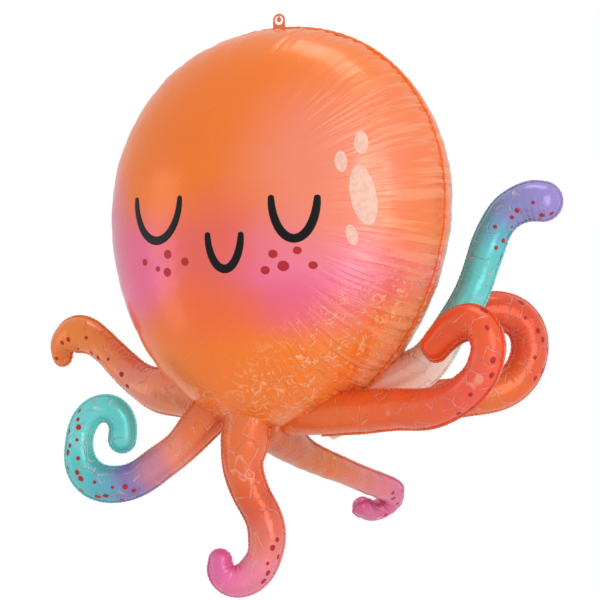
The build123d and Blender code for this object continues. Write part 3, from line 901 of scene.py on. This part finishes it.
class BALLOON_OT_face(bpy.types.Operator):
    """Print the closed eyes, the smile, the freckles and the pale glints on the front film"""
    bl_idname = "balloon.face"
    bl_label = "Printed face"

    def execute(self, context):
        settings = context.scene.balloon_head
        line = ink_material("printed_ink_black", (*settings.line_colour, 1.0), 0.03)
        spot = ink_material("printed_ink_red", (*settings.spot_colour, 1.0))
        glint = ink_material("printed_ink_pale", (*settings.glint_colour, 1.0))
        for name, shape in STROKES.items():
            put(stroke_patch(name, *shape, settings.line_width), line, "head")
        for number, (x, z, size) in enumerate(FRECKLES, start=1):
            put(ellipse_patch(f"freckle_{number}", x, z, size * 1.1, size, 0.0), spot, "head")
        for number, (x, z, half_x, half_z, lean) in enumerate(GLINTS, start=1):
            put(ellipse_patch(f"glint_{number}", x, z, half_x, half_z, lean), glint, "head")
        return {"FINISHED"}


class BALLOON_OT_arms(bpy.types.Operator):
    """Build the eight arms: each a puckered printed tube with a sealed edge and printed dots"""
    bl_idname = "balloon.arms"
    bl_label = "Arms"

    def execute(self, context):
        spot = ink_material("printed_ink_dots", (*context.scene.balloon_head.spot_colour, 1.0))
        for name, (_, _, _, colours) in ARMS.items():
            colours = colours.split()
            film, shape = arm_film(name)
            material = arm_film_material(name, colours, shape.length)
            film_nodes = [name + "_front_panel", name + "_back_panel", name + "_neck"]
            put(film, material, None, film_nodes)
            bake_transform(film)
            seam = put(arm_seam(name, shape), material, None, [name + "_edge_seam"])
            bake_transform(seam)
            for number, piece in enumerate(arm_dots(name, shape), start=1):
                put(piece, spot, name + "_arm")
        return {"FINISHED"}


class BALLOON_OT_trim(bpy.types.Operator):
    """Give the hang tab, its tongue, the filling neck and the valve films their materials"""
    bl_idname = "balloon.trim"
    bl_label = "Tab and valve"

    def execute(self, context):
        tab = sealed_film_material("heat_sealed_film_tab", linear("EE7A44"))
        tail = sealed_film_material("heat_sealed_film_tail", linear("EC7236"))
        valve = clear_film_material()
        kept = {"hang_tab": tab, "tab_tongue": tab, "valve_tail": tail, "valve_film_front": valve,
                "valve_film_back": valve}
        for name, material in kept.items():
            frame["nodes"][name].data.materials.clear()
            frame["nodes"][name].data.materials.append(material)
        return {"FINISHED"}


class BALLOON_OT_stage(bpy.types.Operator):
    """Set up the pale floor, the soft lights and the camera"""
    bl_idname = "balloon.stage"
    bl_label = "Stage"

    def execute(self, context):
        settings = context.scene.balloon_stage
        sin_a, cos_a = math.sin(settings.azimuth), math.cos(settings.azimuth)
        back, right = np.array([sin_a, -cos_a, 0.0]), np.array([cos_a, sin_a, 0.0])
        low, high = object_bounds()
        floor_z = low[2] - 0.25
        # A round floor just under the camera's frame, so that every other view is free of walls.
        turn = np.linspace(0.0, 2 * math.pi, 129)[:-1]
        ring = np.array([0.3, 0.7, 1.1, 1.5, 1.8])[:, None]
        disc = np.stack([ring * np.cos(turn), ring * np.sin(turn), 0 * ring + 0 * turn + floor_z], -1)
        cells = np.arange(disc.shape[0] * len(turn)).reshape(disc.shape[0], -1)
        cells = np.concatenate([cells, cells[:, :1]], axis=1)
        faces = np.stack([cells[:-1, :-1], cells[1:, :-1], cells[1:, 1:], cells[:-1, 1:]], -1)
        mesh = bpy.data.meshes.new("floor")
        mesh.from_pydata(disc.reshape(-1, 3).tolist(), [],
                         faces.reshape(-1, 4).tolist() + [cells[0, :-1].tolist()])
        mesh.shade_smooth()
        floor = bpy.data.objects.new("floor", mesh)
        context.scene.collection.objects.link(floor)
        material, tree, shader = new_material("matt_paper_floor", (*settings.ground_colour, 1.0), 0.9)
        coords = object_place(tree)
        tooth = noise(tree, coords, 300.0, 2.0)
        bumped(tree, shader, ((tooth.outputs["Fac"], 0.0002),))
        mesh.materials.append(material)
        floor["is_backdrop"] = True

        middle = np.array([0.0, 0.0, -0.42])

        def softbox(name, side, up, near, wide, tall, power):
            """A rectangular soft light placed in the camera's terms, aimed at the object."""
            data = bpy.data.lights.new(name, "AREA")
            data.shape, data.size, data.size_y, data.energy = "RECTANGLE", wide, tall, power
            lamp = bpy.data.objects.new(name, data)
            spot = middle + right * side + back * near + np.array([0.0, 0.0, up])
            lamp.location = spot
            aim = middle - spot
            lamp.rotation_euler = Vector(aim).to_track_quat("-Z", "Y").to_euler()
            context.scene.collection.objects.link(lamp)

        softbox("key", 1.25, 0.35, 2.1, 1.1, 2.1, settings.key_power)
        softbox("fill", -2.8, -0.3, 0.1, 0.9, 2.4, settings.fill_power / 2)
        softbox("top", 0.3, 2.7, -0.3, 1.8, 0.8, settings.fill_power)
        world = bpy.data.worlds.new("studio")
        context.scene.world = world
        world.use_nodes = True
        tree = world.node_tree
        # The camera sees plain white behind the object, and the object is lit by a softer grey.
        seen = node(tree, "ShaderNodeLightPath").outputs["Is Camera Ray"]
        strength = node(tree, "ShaderNodeMapRange",
                        {"Value": seen, "To Min": settings.surround, "To Max": 1.0}).outputs[0]
        tree.nodes["Background"].inputs["Color"].default_value = (1.0, 1.0, 1.0, 1.0)
        tree.links.new(strength, tree.nodes["Background"].inputs["Strength"])
        # Printed colours keep their strength with the plain display curve.
        context.scene.view_settings.view_transform = "Standard"

        data = bpy.data.cameras.new("camera")
        data.lens, data.sensor_width = LENS, SENSOR_WIDTH
        camera = bpy.data.objects.new("camera", data)
        camera.location = right * 0.0315 + back * settings.distance + np.array([0.0, 0.0, -0.4194])
        camera.rotation_euler = (math.pi / 2, 0.0, settings.azimuth)
        context.scene.collection.objects.link(camera)
        context.scene.camera = camera
        return {"FINISHED"}


class BALLOON_PT_panel(bpy.types.Panel):
    """Buttons and settings for the balloon"""
    bl_label = "Foil octopus balloon"
    bl_space_type = "VIEW_3D"
    bl_region_type = "UI"
    bl_category = "Balloon"

    def draw(self, context):
        for group in (context.scene.balloon_head, context.scene.balloon_arms,
                      context.scene.balloon_stage):
            box = self.layout.box()
            for key in group.__annotations__:
                box.prop(group, key)
        for operator in OPERATORS:
            self.layout.operator(operator.bl_idname)


OPERATORS = (BALLOON_OT_head_films, BALLOON_OT_head_rim, BALLOON_OT_face, BALLOON_OT_arms,
             BALLOON_OT_trim, BALLOON_OT_stage)
CLASSES = (BalloonHeadSettings, BalloonArmSettings, BalloonStageSettings, *OPERATORS,
           BALLOON_PT_panel)


def register():
    for item in CLASSES:
        bpy.utils.register_class(item)
    bpy.types.Scene.balloon_head = bpy.props.PointerProperty(type=BalloonHeadSettings)
    bpy.types.Scene.balloon_arms = bpy.props.PointerProperty(type=BalloonArmSettings)
    bpy.types.Scene.balloon_stage = bpy.props.PointerProperty(type=BalloonStageSettings)


def unregister():
    del bpy.types.Scene.balloon_stage
    del bpy.types.Scene.balloon_arms
    del bpy.types.Scene.balloon_head
    for item in reversed(CLASSES):
        bpy.utils.unregister_class(item)


def main():
    register()
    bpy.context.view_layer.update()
    bpy.ops.balloon.head_films()
    bpy.ops.balloon.head_rim()
    bpy.ops.balloon.face()
    bpy.ops.balloon.arms()
    bpy.ops.balloon.trim()
    bpy.ops.balloon.stage()


if __name__ == "__main__":
    main()
